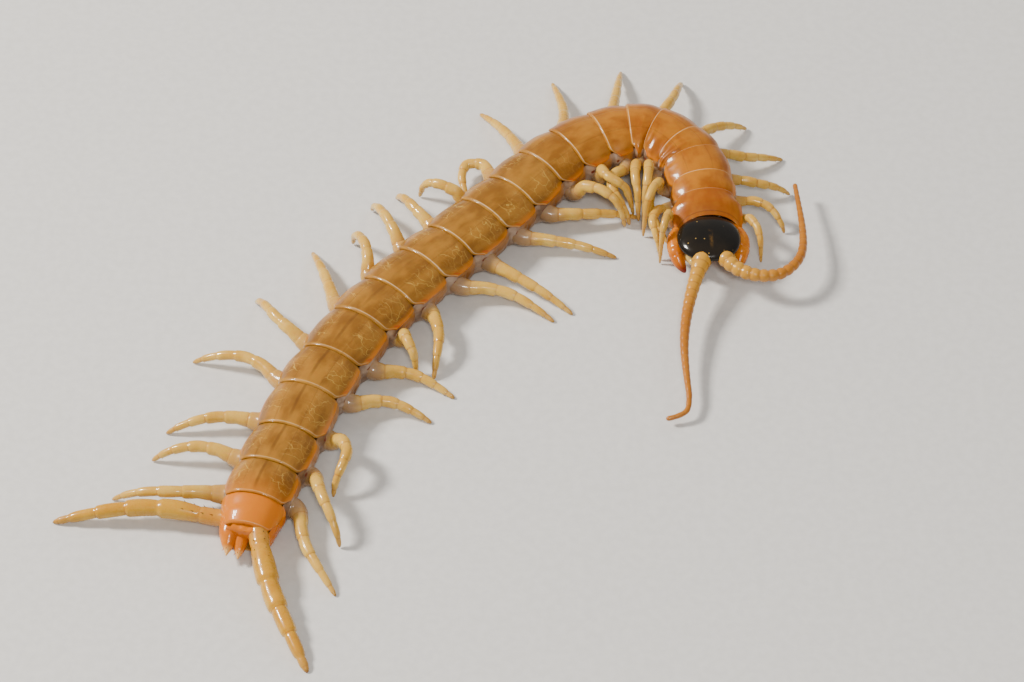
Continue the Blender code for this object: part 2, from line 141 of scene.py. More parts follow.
def tail_narrowing(station):
    early = 0.11 * smooth(LAST - 1.0, LAST - 0.5, station)
    return 1.0 - early - (0.89 - TAIL_SCALE) * smooth(LAST - 0.5, LAST + 0.08, station)


def barrel(number, share):
    """Scales of a plate's width and height: narrow in front, widest behind its middle."""
    if number == 1:
        wide = 1.07 + 0.08 * smooth(-0.6, 0.2, share) - 0.18 * smooth(0.45, 1.0, share)
        tall = 0.74 + 0.26 * smooth(-0.45, 0.6, share)
    else:
        wide = 0.885 + 0.115 * smooth(-0.2, 0.5, share) - 0.035 * smooth(0.65, 1.0, share)
        tall = 0.93 + 0.065 * smooth(-0.2, 0.6, share)
    return wide, tall


def plate_point(number, across, along):
    """Place on a back plate: across is -1 to 1 from right to left, along is 0 to 1."""
    rim = abs(across)
    length = PLATES[number][0] * MM
    overlap = REAR_OVERLAP if number < LAST else -TAIL_PLATE_SHORTER
    reach = overlap + REAR_BOW * (1 - rim ** 2.5) - REAR_CORNER * smooth(0.62, 1.0, rim) ** 2
    start = 0.02 + 0.05 * rim ** 4
    if number == 1:
        start = -(COLLAR_FORWARD + COLLAR_SIDES * rim ** 2.2) / length
    station = number - 1 + start + along * (1 - start + reach / length)
    place, heading = body(station)
    wide_scale, tall_scale = barrel(number, station - number + 1)
    if number == LAST:
        wide_scale *= tail_narrowing(station)
        tall_scale *= tail_narrowing(station)
    lip = LIP_DROP * smooth(LIP_START, 1.02, along) ** 1.4 * (1 if number < LAST else 2)
    wide_scale -= lip * 0.7
    tall_scale -= lip
    roll = math.radians(PLATE_ROLL) * rim ** 0.96
    wide = half_width(station) * wide_scale * math.sin(roll)
    tall = crest(station) * tall_scale * (0.50 + 0.50 * math.cos(roll) ** 0.93)
    lift = RIM_RAISE * smooth(0.88, 0.945, rim) * (1 - smooth(0.96, 1.0, rim))
    spot = Vector((place.x, place.y, number)) / MM
    lift += DENT_DEPTH * noise.noise(spot * 0.45 + Vector((0, 0, across * 2)))
    lift -= DENT_DEPTH * math.exp(-((rim - 0.62) / 0.14) ** 2) * math.sin(math.pi * along)
    inner = smooth(5.7, 4.9, station) * smooth(1.6, 3.0, station) * smooth(0.25, -0.45, across)
    ripple = math.sin(station * 17 + 3.0 * noise.noise(spot * 0.7 + Vector((0, 0, across * 3))))
    lift += WRINKLE_DEPTH * inner * ripple * smooth(0.95, 0.8, along)
    out = left_of(heading) * math.sin(roll) * math.copysign(1, across) + UP * math.cos(roll)
    side = left_of(heading) * wide * math.copysign(1, across)
    return place + side + UP * tall + out.normalized() * lift


def grid(columns, rows):
    """Flat sheet of squares whose corners run from -1 to 1 both ways."""
    shape = bmesh.new()
    bmesh.ops.create_grid(shape, x_segments=columns, y_segments=rows, size=1.0)
    return shape


def mark(shape, name, value_of):
    """Stores a number on every corner of the mesh for its material to read."""
    layer = shape.verts.layers.float.new(name)
    for vert in shape.verts:
        vert[layer] = value_of(vert.co)


def add_piece(name, shape, finish, slot, *nodes):
    """Turns a mesh into a finished piece that stands for nodes of the solid model."""
    bmesh.ops.remove_doubles(shape, verts=shape.verts, dist=WELD)
    bmesh.ops.recalc_face_normals(shape, faces=shape.faces)
    mesh = bpy.data.meshes.new(name)
    shape.to_mesh(mesh)
    shape.free()
    mesh.materials.append(finish)
    mesh.shade_smooth()
    piece = bpy.data.objects.new(name, mesh)
    bpy.context.scene.collection.objects.link(piece)
    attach(piece, "root")
    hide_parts(*nodes)
    return piece


class Field:
    """A shader socket that sums can be written with."""

    def __init__(self, tree, socket=None):
        self.tree = tree
        self.socket = socket

    def node(self, kind, settings, values, output=0):
        made = self.tree.nodes.new("ShaderNode" + kind)
        for name, value in settings.items():
            setattr(made, name, value)
        for key, value in values.items():
            if isinstance(value, Field):
                self.tree.links.new(value.socket, made.inputs[key])
            else:
                made.inputs[key].default_value = value
        return Field(self.tree, made.outputs[output])

    def sum(self, operation, *values):
        return self.node("Math", {"operation": operation}, dict(enumerate(values)))

    def __add__(self, other):
        return self.sum("ADD", self, other)

    def __sub__(self, other):
        return self.sum("SUBTRACT", self, other)

    def __rsub__(self, other):
        return self.sum("SUBTRACT", other, self)

    def __mul__(self, other):
        return self.sum("MULTIPLY", self, other)

    def __pow__(self, other):
        return self.sum("POWER", self, other)

    def __abs__(self):
        return self.sum("ABSOLUTE", self)

    __radd__ = __add__
    __rmul__ = __mul__

    def between(self, low, high):
        """Smooth step from 0 at low to 1 at high."""
        values = {"Value": self, "From Min": low, "From Max": high}
        return self.node("MapRange", {"interpolation_type": "SMOOTHSTEP"}, values)

    def mix(self, first, second):
        """Colour that goes from first to second as this value goes from 0 to 1."""
        first, second = (c if isinstance(c, Field) else (*c, 1) for c in (first, second))
        values = {"Factor": self, 6: first, 7: second}
        return self.node("Mix", {"data_type": "RGBA"}, values, 2)

    def stored(self, name):
        return self.node("Attribute", {"attribute_name": name}, {}, "Fac")

    def place(self):
        return self.node("TexCoord", {}, {}, "Object")

    def noise(self, where, scale, detail):
        values = {"Vector": where, "Scale": scale, "Detail": detail}
        return self.node("TexNoise", {}, values)

    def grains(self, coarse, fine):
        """A coarse and a fine noise over the surface."""
        where = self.place()
        return self.noise(where, coarse, 4.0), self.noise(where, fine, 3.0)

    def cells(self, where, scale):
        """Distance to the nearest border of irregular cells."""
        values = {"Vector": where, "Scale": scale}
        return self.node("TexVoronoi", {"feature": "DISTANCE_TO_EDGE"}, values, "Distance")

    def bump(self, strength, depth):
        values = {"Height": self, "Strength": strength, "Distance": depth}
        return self.node("Bump", {}, values)


def start_finish(name):
    """New material, with the field that its nodes are added through."""
    finish = bpy.data.materials.new(name)
    finish.use_nodes = True
    return finish, Field(finish.node_tree)


def end_finish(finish, **inputs):
    """Connects fields or values to the inputs of the material's surface."""
    surface = finish.node_tree.nodes["Principled BSDF"]
    surface.inputs["Subsurface Radius"].default_value = (1.0, 0.4, 0.1)
    surface.inputs["Subsurface Scale"].default_value = 0.5 * MM
    for name, value in inputs.items():
        key = name.replace("_", " ")
        if isinstance(value, Field):
            finish.node_tree.links.new(value.socket, surface.inputs[key])
        else:
            surface.inputs[key].default_value = value
    return finish


def plate_finish():
    finish, field = start_finish("back plates")
    across = field.stored("across")
    along = field.stored("along")
    number = field.stored("number")
    rim = abs(across)
    where = field.place()
    cloud, fine = field.grains(260, 1900)
    flow = field.node("CombineXYZ", {}, {0: across * 5.0, 1: along * 1.1, 2: number * 3.0})
    streaks = field.noise(flow, 1.0, 4.0)
    shade = (cloud + streaks) * 0.5
    olive = shade.between(0.38, 0.64).mix((0.185, 0.074, 0.009), (0.32, 0.140, 0.018))
    amber = shade.between(0.36, 0.62).mix((0.28, 0.076, 0.004), (0.41, 0.140, 0.007))
    neck = (number + cloud).between(10.5, 5.5)
    middle = neck.mix(olive, amber)
    tail = number.between(19.55, 20.5)
    middle = (tail * 0.95).mix(middle, (0.60, 0.155, 0.001))
    edge = (rim + streaks * 0.16).between(0.83, 1.03)
    colour = edge.mix(middle, (0.52, 0.160, 0.008))
    # Pale translucent band along the rear edge, and a painted highlight: a bright line where the
    # edge bends down, over the right side and the middle, weaker towards the tail
    rear = (along + cloud * 0.05).between(0.94, 0.985)
    colour = (rear * (0.24 - tail * 0.12)).mix(colour, (0.54, 0.27, 0.04))
    # Painted highlight: the glint of light on the bend of the rear edge, drawn into the colour as a
    # pale line
    painted_highlight_line = abs(along - 0.957).between(0.012, 0.003) * (across + streaks * 0.6).between(0.75, 0.30)
    painted_highlight_line = painted_highlight_line * (0.45 - 0.25 * number.between(13.0, 16.0))
    colour = painted_highlight_line.mix(colour, (0.82, 0.66, 0.42))
    front = along.between(0.09, 0.04) * number.between(13.0, 16.0)
    colour = (front * 0.18).mix(colour, (0.54, 0.27, 0.04))
    collar = number.between(1.35, 1.0)
    colour = (collar * 0.35).mix(colour, (0.26, 0.055, 0.003))
    ring = abs(along - 0.13 + cloud * 0.02).between(0.022, 0.006) * collar
    colour = (ring * 0.5).mix(colour, (0.12, 0.03, 0.003))
    # Dark line of the heart down the middle, strongest near the tail
    heart = abs(across + cloud * 0.03 - 0.015).between(0.045, 0.008)
    heart = heart * number.between(12.0, 16.5) * number.between(20.5, 20.2)
    heart = heart * along.between(0.95, 0.6)
    colour = (heart * 0.5).mix(colour, (0.075, 0.028, 0.006))
    # Breathing tubes that show through the side of the plates as pale feathered lines
    warp = field.noise(where, 520, 2.0)
    curl = field.noise(where, 1100, 1.0) * 0.6
    fan = field.node("CombineXYZ", {}, {0: across * 2.0 + warp * 1.1 + curl,
                                       1: along * 4.6 + cloud * 2.4 - curl, 2: number * 2.0})
    branches = field.cells(fan, 1.0).between(0.030, 0.006)
    twigs = field.cells(fan, 2.1).between(0.035, 0.008) * 0.35
    web = branches.sum("MAXIMUM", branches, twigs)
    web = web * rim.between(0.14, 0.34) * rim.between(0.90, 0.70) * along.between(0.06, 0.24)
    web = web * along.between(0.86, 0.70) * number.between(7.5, 10.5) * number.between(20.6, 19.6)
    colour = (web * 0.42).mix(colour, (0.66, 0.42, 0.085))
    # Reddish spots at the rear corners, over the breathing holes
    corner = (rim - 0.90) * (rim - 0.90) * 60.0 + (along - 0.84) * (along - 0.84) * 90.0
    red = corner.between(0.36, 0.08) * number.between(3.0, 5.0) * number.between(18.0, 16.0)
    colour = (red * 0.6).mix(colour, (0.42, 0.06, 0.008))
    groove = abs(rim - 0.27).between(0.02, 0.006) * number.between(2.0, 3.0)
    groove = groove * number.between(20.5, 19.5)
    colour = (groove * 0.25).mix(colour, (0.13, 0.05, 0.008))
    wrinkle = field.noise(field.node("CombineXYZ", {}, {0: across * 3.0, 1: along * 26.0,
                                                       2: number * 5.0}), 1.0, 3.0)
    height = fine * 0.3 + wrinkle * (0.3 + 0.7 * neck) + cloud * 0.6 - groove * 0.7 - ring * 1.5
    return end_finish(finish, Base_Color=colour, Roughness=0.26 + fine * 0.16,
                      Coat_Weight=0.15 + 0.30 * cloud, Coat_Roughness=0.03,
                      Specular_IOR_Level=0.14, Subsurface_Weight=0.2,
                      Normal=height.bump(0.4, 0.04 * MM))


BACK = plate_finish()
TRUNK_NODES = {n: f"trunk_{n - 1 + n % 2:02d}_{n + n % 2:02d}" for n in range(1, LAST)}
TRUNK_NODES[LAST] = "trunk_21"
for number in range(1, LAST + 1):
    shape = grid(PLATE_ACROSS, PLATE_ALONG)
    mark(shape, "across", lambda spot: spot.x)
    mark(shape, "along", lambda spot: (spot.y + 1) / 2)
    mark(shape, "number", lambda spot: number + (spot.y - 1) / 4)
    for vert in shape.verts:
        vert.co = plate_point(number, vert.co.x, (vert.co.y + 1) / 2)
    bmesh.ops.recalc_face_normals(shape, faces=shape.faces)
    bmesh.ops.solidify(shape, geom=shape.faces[:], thickness=PLATE_THICKNESS)
    add_piece(f"back_plate_{number:02d}", shape, BACK, "trunk", TRUNK_NODES[number])

# Flanks. Soft wet skin folds between the back plates and the belly plates, with a small
# hard shield round each leg root and, on some segments, a breathing hole above it.
FLANK_COLUMNS = 34
FLANK_ROWS = 30
# From under the plate's rim down to the belly: share of the half width, of the height
FLANK = ((0.90, 0.66), (0.975, 0.575), (1.0, 0.48), (0.985, 0.37), (0.94, 0.25), (0.86, 0.12),
         (0.74, 0.045), (0.56, 0.02))
FOLD_DEPTH = 0.24 * MM
CREASE_DEPTH = 0.10 * MM
SHOULDER = 0.85 * MM


def along_curve(points, share):
    """Smooth curve through evenly spaced points, at a share of its whole run."""
    spot = min(len(points) - 1.0001, max(0.0, share * (len(points) - 1)))
    first = int(spot)
    t = spot - first
    p1, p2 = points[first], points[first + 1]
    p0 = points[first - 1] if first else p1
    p3 = points[first + 2] if first + 2 < len(points) else p2
    return tuple(
        b + 0.5 * t * (c - a + t * (2 * a - 5 * b + 4 * c - d + t * (3 * (b - c) + d - a)))
        for a, b, c, d in zip(p0, p1, p2, p3)
    )


def flank_point(side, station, share):
    u, v = along_curve(FLANK, share)
    place, heading = body(station)
    local = station % 1.0
    narrow = tail_narrowing(station)
    barrelled = 0.935 + 0.055 * math.sin(math.pi * local) ** 0.8
    barrelled += 0.10 * smooth(1.0, 0.5, station)
    fold = math.exp(-(min(local, 1 - local) / 0.07) ** 2)
    fold += 0.5 * math.exp(-((local - 0.42) / 0.05) ** 2) * smooth(0.75, 0.5, share)
    level = math.sin(math.pi * min(1.0, share * 1.25))
    spot = Vector((place.x, place.y, share * 4 * MM)) / MM
    pucker = noise.noise(spot * 1.7 + Vector((side, 0, 0))) * CREASE_DEPTH
    pucker += abs(math.sin(share * 11 + 2.2 * noise.noise(spot * 0.8))) * CREASE_DEPTH * 0.8
    inset = (fold * FOLD_DEPTH - pucker) * level
    root = 0.3 + 0.4 * smooth(NECK_END, 9, station)
    bulge = SHOULDER if station < LAST - 1 else 0.0
    inset -= bulge * math.exp(-((local - root) / 0.15) ** 2 - ((share - 0.62) / 0.19) ** 2)
    wide = half_width(station) * u * narrow * barrelled - inset
    return place + left_of(heading) * side * wide + UP * crest(station) * v * narrow


def flank_finish():
    finish, field = start_finish("flanks")
    down = field.stored("down")
    local = field.stored("local")
    cloud, fine = field.grains(520, 2600)
    skin = cloud.between(0.35, 0.66).mix((0.16, 0.090, 0.050), (0.36, 0.25, 0.175))
    shield = (abs(local - 0.34) + cloud * 0.2).between(0.46, 0.26) * down.between(0.85, 0.6)
    colour = (shield * 0.85).mix(skin, (0.30, 0.115, 0.014))
    low = down.between(0.7, 0.9)
    colour = low.mix(colour, (0.30, 0.13, 0.03))
    hole = abs(local - 0.80) ** 2.0 * 38.0
    hole = hole + (down - 0.27) * (down - 0.27) * 90.0
    colour = hole.between(0.30, 0.12).mix(colour, (0.16, 0.03, 0.012))
    height = cloud * 1.2 + fine * 0.5
    return end_finish(finish, Base_Color=colour, Roughness=0.25 + 0.2 * fine,
                      Coat_Weight=0.15, Coat_Roughness=0.05, Specular_IOR_Level=0.3,
                      Normal=height.bump(0.7, 0.09 * MM))


def horn_finish(name, pale, rich, dark, tip):
    """Glossy tinted horn that darkens or pales towards its tip."""
    finish, field = start_finish(name)
    along = field.stored("along")
    cloud, fine = field.grains(480, 2400)
    colour = cloud.between(0.35, 0.7).mix(rich, pale)
    colour = along.between(tip, tip + 0.16).mix(colour, dark)
    height = cloud + fine * 0.6
    return end_finish(finish, Base_Color=colour, Roughness=0.16 + 0.2 * fine,
                      Coat_Weight=0.3, Coat_Roughness=0.04, Specular_IOR_Level=0.2,
                      Normal=height.bump(0.5, 0.05 * MM))


SKIN = flank_finish()
PROCESS = horn_finish("tail processes", (0.62, 0.175, 0.003), (0.52, 0.13, 0.002),
                      (0.70, 0.36, 0.10), 0.72)
for number in range(1, LAST + 1):
    for side, word in ((1, "left"), (-1, "right")):
        shape = grid(FLANK_COLUMNS, FLANK_ROWS)
        mark(shape, "local", lambda spot: (spot.x + 1) / 2)
        mark(shape, "down", lambda spot: (spot.y + 1) / 2)
        mark(shape, "along", lambda spot: 0.3)
        for vert in shape.verts:
            station = number - 1 + (vert.co.x + 1) / 2
            vert.co = flank_point(side, station, (vert.co.y + 1) / 2)
        finish = SKIN if number < LAST else PROCESS
        add_piece(f"flank_{word}_{number:02d}", shape, finish, "trunk", TRUNK_NODES[number])

# Belly plates. A flat hard plate closes the underside of each segment, with two grooves
# along it. The plates of the rear half rest on the floor.
BELLY_SHARE = 0.60
BELLY_THICKNESS = 0.10 * MM
BELLY_RISE = 0.02 * MM
BELLY_COLUMNS = 24
BELLY_ROWS = 16


def belly_finish():
    finish, field = start_finish("belly plates")
    across = field.stored("across")
    cloud = field.noise(field.place(), 420, 4.0)
    colour = cloud.between(0.35, 0.7).mix((0.30, 0.13, 0.025), (0.44, 0.22, 0.05))
    groove = abs(abs(across) - 0.42).between(0.03, 0.01)
    colour = (groove * 0.6).mix(colour, (0.14, 0.06, 0.015))
    height = cloud - groove
    return end_finish(finish, Base_Color=colour, Roughness=0.25 + 0.2 * cloud,
                      Normal=height.bump(0.6, 0.06 * MM))


UNDERSIDE = belly_finish()
for number in range(1, LAST + 1):
    shape = grid(BELLY_COLUMNS, BELLY_ROWS)
    mark(shape, "across", lambda spot: spot.x)
    for vert in shape.verts:
        corner = smooth(0.7, 1.0, abs(vert.co.x)) * 0.05 * vert.co.y
        station = number - 0.5 + vert.co.y * 0.49 - corner
        place, heading = body(station)
        wide = half_width(station) * BELLY_SHARE * tail_narrowing(station) * vert.co.x
        lift = BELLY_RISE + BELLY_THICKNESS + 0.12 * MM * abs(vert.co.x) ** 4
        lift += 0.08 * MM * smooth(0.9, 1.0, abs(vert.co.y))
        vert.co = place + left_of(heading) * wide + UP * lift
    bmesh.ops.recalc_face_normals(shape, faces=shape.faces)
    bmesh.ops.solidify(shape, geom=shape.faces[:], thickness=BELLY_THICKNESS)
    add_piece(f"belly_plate_{number:02d}", shape, UNDERSIDE, "trunk", TRUNK_NODES[number])

# Tail end. The last segment closes with soft skin round the vent, and on each side the
# hard coxal plate runs out into pointed processes with small spines on their tips.
TAIL_SLANT = 2.3 * MM
# Points down a process: behind the plate, left of the middle, height and radius, in mm
PROCESSES = (
    ((-2.6, 2.0, 2.3, 1.4), (-0.7, 2.0, 2.2, 1.42), (0.5, 1.9, 1.9, 1.15), (1.4, 1.8, 1.6, 0.68),
     (2.2, 1.75, 1.4, 0.05)),
    ((-1.8, 0.8, 2.0, 1.2), (-0.3, 0.65, 1.8, 1.1), (0.8, 0.52, 1.5, 0.85), (1.5, 0.44, 1.3, 0.55),
     (2.2, 0.4, 1.1, 0.05)),
)
SPIKE_LENGTH = 0.42 * MM
SPIKE_RADIUS = 0.07 * MM
AROUND = 20


def tube(path, radius_at, steps, around=AROUND, extra=None):
    """Closed limb along a path: path and radius_at take a share of its length."""
    shape = grid(around, steps)
    mark(shape, "along", lambda spot: (spot.y + 1) / 2)
    mark(shape, "top", lambda spot: math.cos(math.pi * spot.x))
    for vert in shape.verts:
        share = (vert.co.y + 1) / 2
        angle = math.pi * vert.co.x
        place = path(share)
        ahead = path(min(1.0, share + 0.004)) - path(max(0.0, share - 0.004))
        ahead.normalize()
        up = (UP - ahead * ahead.z).normalized()
        side = ahead.cross(up)
        radius = radius_at(share)
        if extra:
            radius *= extra(share, math.cos(angle))
        vert.co = place + (up * math.cos(angle) + side * math.sin(angle)) * radius
    return shape


def path_through(points):
    """Smooth path through points, taking a share of the whole run."""
    runs = [0.0]
    for near, far in zip(points, points[1:]):
        runs.append(runs[-1] + (far - near).length)

    def path(share):
        run = share * runs[-1]
        i = 0
        while i < len(points) - 2 and run > runs[i + 1]:
            i += 1
        t = (run - runs[i]) / (runs[i + 1] - runs[i])
        spot = along_curve([tuple(point) for point in points], (i + t) / (len(points) - 1))
        return Vector(spot)

    return path, runs


def spine(shape, root, way, length, radius):
    """Small sharp spine standing on a limb."""
    turn = way.to_track_quat("Z", "Y").to_matrix().to_4x4()
    turn.translation = root + way * length / 2
    bmesh.ops.create_cone(shape, cap_ends=True, segments=8, radius1=radius,
                          radius2=radius * 0.1, depth=length, matrix=turn)


tail, tail_heading = edges[LAST], PLATES[LAST][1]


def slanted(point):
    """The rear face leans: a point moves back the more, the lower it lies."""
    tall = crest(LAST) * TAIL_SCALE
    return point + heading_vector(tail_heading) * TAIL_SLANT * (1 - point.z / tall)


def rounded(point):
    """As slanted, but curved, so that the soft skin is upright at the top."""
    tall = crest(LAST) * TAIL_SCALE
    return point + heading_vector(tail_heading) * TAIL_SLANT * max(0.0, 1 - point.z / tall) ** 2.2


for i, stations in enumerate(PROCESSES):
    points = [tail - heading_vector(tail_heading) * back * MM
              + left_of(tail_heading) * side * MM + UP * height * MM
              for back, side, height, radius in stations]
    path, runs = path_through(points)

    def process_radius(share):
        radius = along_curve([station[3:] for station in stations], share)[0] * MM
        return radius * math.sqrt(min(1.0, share * 60))

    shape = tube(path, process_radius, 60, 28)
    way = (points[-1] - points[-2]).normalized()
    for turn in (0.2, 1.4, 2.6):
        tilt = left_of(tail_heading) * math.cos(turn) + UP * math.sin(turn)
        spot = points[-2] + tilt * stations[-2][3] * MM * 0.6
        spine(shape, spot, (way + tilt * 0.5).normalized(), SPIKE_LENGTH, SPIKE_RADIUS)
    add_piece(f"tail_process_{i + 1}", shape, PROCESS, "trunk", "trunk_21")

# The soft end of the body between the processes, puckered towards the vent
END_BULGE = 0.5 * MM
END_TUCK = 1.1 * MM
END_FOLDS = 14
shape = grid(64, 24)
mark(shape, "along", lambda spot: 0.3)
for vert in shape.verts:
    angle = math.pi * vert.co.x
    radius = (vert.co.y + 1) / 2
    pucker = 1 + 0.03 * math.sin(angle * END_FOLDS) * smooth(0.1, 0.6, radius)
    wide = half_width(LAST) * TAIL_SCALE * 0.97 * radius * math.cos(angle)
    tall = crest(LAST) * TAIL_SCALE * (0.49 + 0.45 * radius * pucker * math.sin(angle))
    behind = heading_vector(tail_heading) * END_BULGE * (radius ** 2 - 0.9) * pucker
    behind += heading_vector(tail_heading) * END_TUCK * smooth(0.75, 1.0, radius * math.sin(angle))
    vert.co = rounded(tail + left_of(tail_heading) * wide + UP * tall) + behind
add_piece("tail_skin", shape, PROCESS, "trunk", "trunk_21")

# Walking legs. Each segment carries one pair: a short hip, then five tapering articles
# of hard yellow cuticle with dark rings where soft skin joins them, and an end claw. On
# the right side grey flank skin reaches further out over the hips.
# Poses of each pair, left leg then right: sweep and bend in degrees, arch in mm, reach
POSES = {
    1: ((58, 28, 2.6, 0.96), (67, 0, 4.4, 1.0)), 2: ((6, 50, 1.4, 0.84), (39, 70, 2.4, 1.0)),
    3: ((18, -12, 0.9, 0.82), (49, 3, 4.6, 1.0)), 4: ((23, -13, 0.4, 0.89), (42, 46, 0.0, 1.0)),
    5: ((2, 22, 0.7, 0.84), (42, -12, 4.4, 1.0)), 6: ((18, -15, 1.1, 1.08), (-4, 25, 3.6, 1.0)),
    7: ((23, -2, 0.6, 1.2), (-62, 91, 2.2, 1.0)), 8: ((35, -19, 0.4, 1.2), (-37, 89, 4.3, 1.0)),
    9: ((20, -12, 0.6, 1.09), (25, -11, 3.6, 1.0)),
    10: ((38, -185, 1.0, 1.0), (44, 8, 1.0, 1.06)),
    11: ((-21, 9, 2.9, 0.81), (37, -6, 0.8, 1.08)), 12: ((8, 14, 1.8, 0.83), (6, -1, 0.9, 1.1)),
    13: ((24, 0, 2.6, 1.0), (42, -34, 0.9, 1.09)),
    14: ((52, -28, 3.1, 0.92), (-32, -28, 1.6, 0.88)),
    15: ((40, -3, 1.1, 1.0), (-46, 20, 3.0, 0.62)), 16: ((8, 29, 2.4, 1.0), (39, -45, 0.4, 0.83)),
    17: ((24, -42, 1.6, 1.0), (43, -44, 0.8, 0.79)),
    18: ((-8, -20, 1.3, 0.87), (-25, -77, 3.0, 0.82)),
    19: ((3, -25, 1.8, 0.84), (-61, 15, 3.0, 0.91)),
    20: ((-24, 18, 2.0, 1.0), (-69, 27, 0.8, 0.93)),
    21: ((0, -16, 1.1, 0.98), (-66, 12, 0.7, 0.97)),
}
LEG_LENGTH = 10.2 * MM
LEG_SHORTER = 0.2
LEG_GROWTH = 0.0095 * MM
LEG_RADIUS = 0.5 * MM
LEG_SWELL = 0.27 * MM
LEG_SWELL_RUN = 6
HIP_SIDE = 4.7 * MM
HIP_SWELL = 0.4 * MM
ROOT_NARROWING = 0.9
ROOT_WIDENING = 0.25
LEG_ROOT_NECK = 0.7
LEG_ROOT_TRUNK = 0.3
TRUNK_START = 9
LEG_ROOT_HEIGHT = 0.27
TOE_HEIGHT = 0.12 * MM
LEAST_ADVANCE = 0.1
OUTLINE_LOW = (0.86, 0.12)
OUTLINE_HIGH = (0.93, 0.39)
GAP = 0.3 * MM
# Stations down a leg: share of its length, share of its radius, share of its bend
LEG_STATIONS = (
    (0.20, 1.00, 0.05), (0.28, 0.95, 0.20), (0.42, 0.91, 0.40), (0.50, 0.84, 0.70),
    (0.62, 0.76, 0.85), (0.70, 0.67, 0.95), (0.82, 0.56, 0.97), (0.88, 0.47, 1.00),
    (0.96, 0.34, 1.00), (1.00, 0.16, 1.00),
)
LEG_JOINTS = (0.0, 0.28, 0.50, 0.70, 0.88, 0.96)
LEG_STEPS = 84
JOINT_WAIST = 0.07
KNUCKLE = 0.06
HEEL = 0.30
ROOT_SUNK = 1.2 * MM
ROOT_THICK = 1.55
ROOT_RAISED = 0.4 * MM
SPUR_LENGTH = 0.34 * MM
SPUR_RADIUS = 0.05 * MM
SPUR_SHARE = 0.88
TOE_CLEARANCE = 0.012 * MM
# How much of the root's lift each of the first points takes
LIFT_SHARES = (1.0, 1.0, 0.85, 0.55, 0.25)
# Stored as the place along a leg for its spines, so that the material tints them dark
SPINE_MARK = 1.2


def leg_path(root, face, pose, length, arch, radius, coxa, narrowing):
    """Points and radii down a leg, from its flat root to the toe on the floor."""
    out, forward, sweep, bend = pose
    hip = root + face * coxa
    points = [root, hip]
    radii = [radius * narrowing, radius * narrowing]
    place = hip.copy()
    share_before = 0.0
    height_before = hip.z
    for share, thick, turned in LEG_STATIONS:
        angle = math.radians(sweep + bend * turned)
        way = out * math.cos(angle) + forward * math.sin(angle)
        height = hip.z + (TOE_HEIGHT - hip.z) * share + arch * 4 * share * (1 - share)
        rise = height - height_before
        step = (share - share_before) * length
        flat = math.sqrt(max(step * step - rise * rise, LEAST_ADVANCE * step * step))
        place = place + way * flat
        points.append(Vector((place.x, place.y, height)))
        radii.append(radius * thick)
        share_before = share
        height_before = height
    return points, radii


def socket(number, side, share_along, height_share):
    """Middle of a leg's root beside the trunk, and the way that it faces."""
    rear_heading = joint_heading(number)
    heading = rear_heading + (joint_heading(number - 1) - rear_heading) * share_along
    middle = edges[number].lerp(edges[number - 1], share_along)
    out = left_of(heading) * side
    wide = half_width(number - 0.5) * barrel(number, 1 - share_along)[0]
    tall = crest(number - 0.5)
    low, high = OUTLINE_LOW, OUTLINE_HIGH
    share = (height_share - low[1]) / (high[1] - low[1])
    reach = wide * (low[0] + (high[0] - low[0]) * share)
    slope = wide * (high[0] - low[0]) / (tall * (high[1] - low[1]))
    face = (out - Vector((0, 0, slope))).normalized()
    return middle + out * reach + UP * tall * height_share + face * GAP, face


def between_stations(stations, values, share):
    """Value at a share of a run, straight from one station's value to the next's."""
    i = 0
    while i < len(stations) - 2 and share > stations[i + 1]:
        i += 1
    t = (share - stations[i]) / (stations[i + 1] - stations[i])
    return values[i] + (values[i + 1] - values[i]) * t


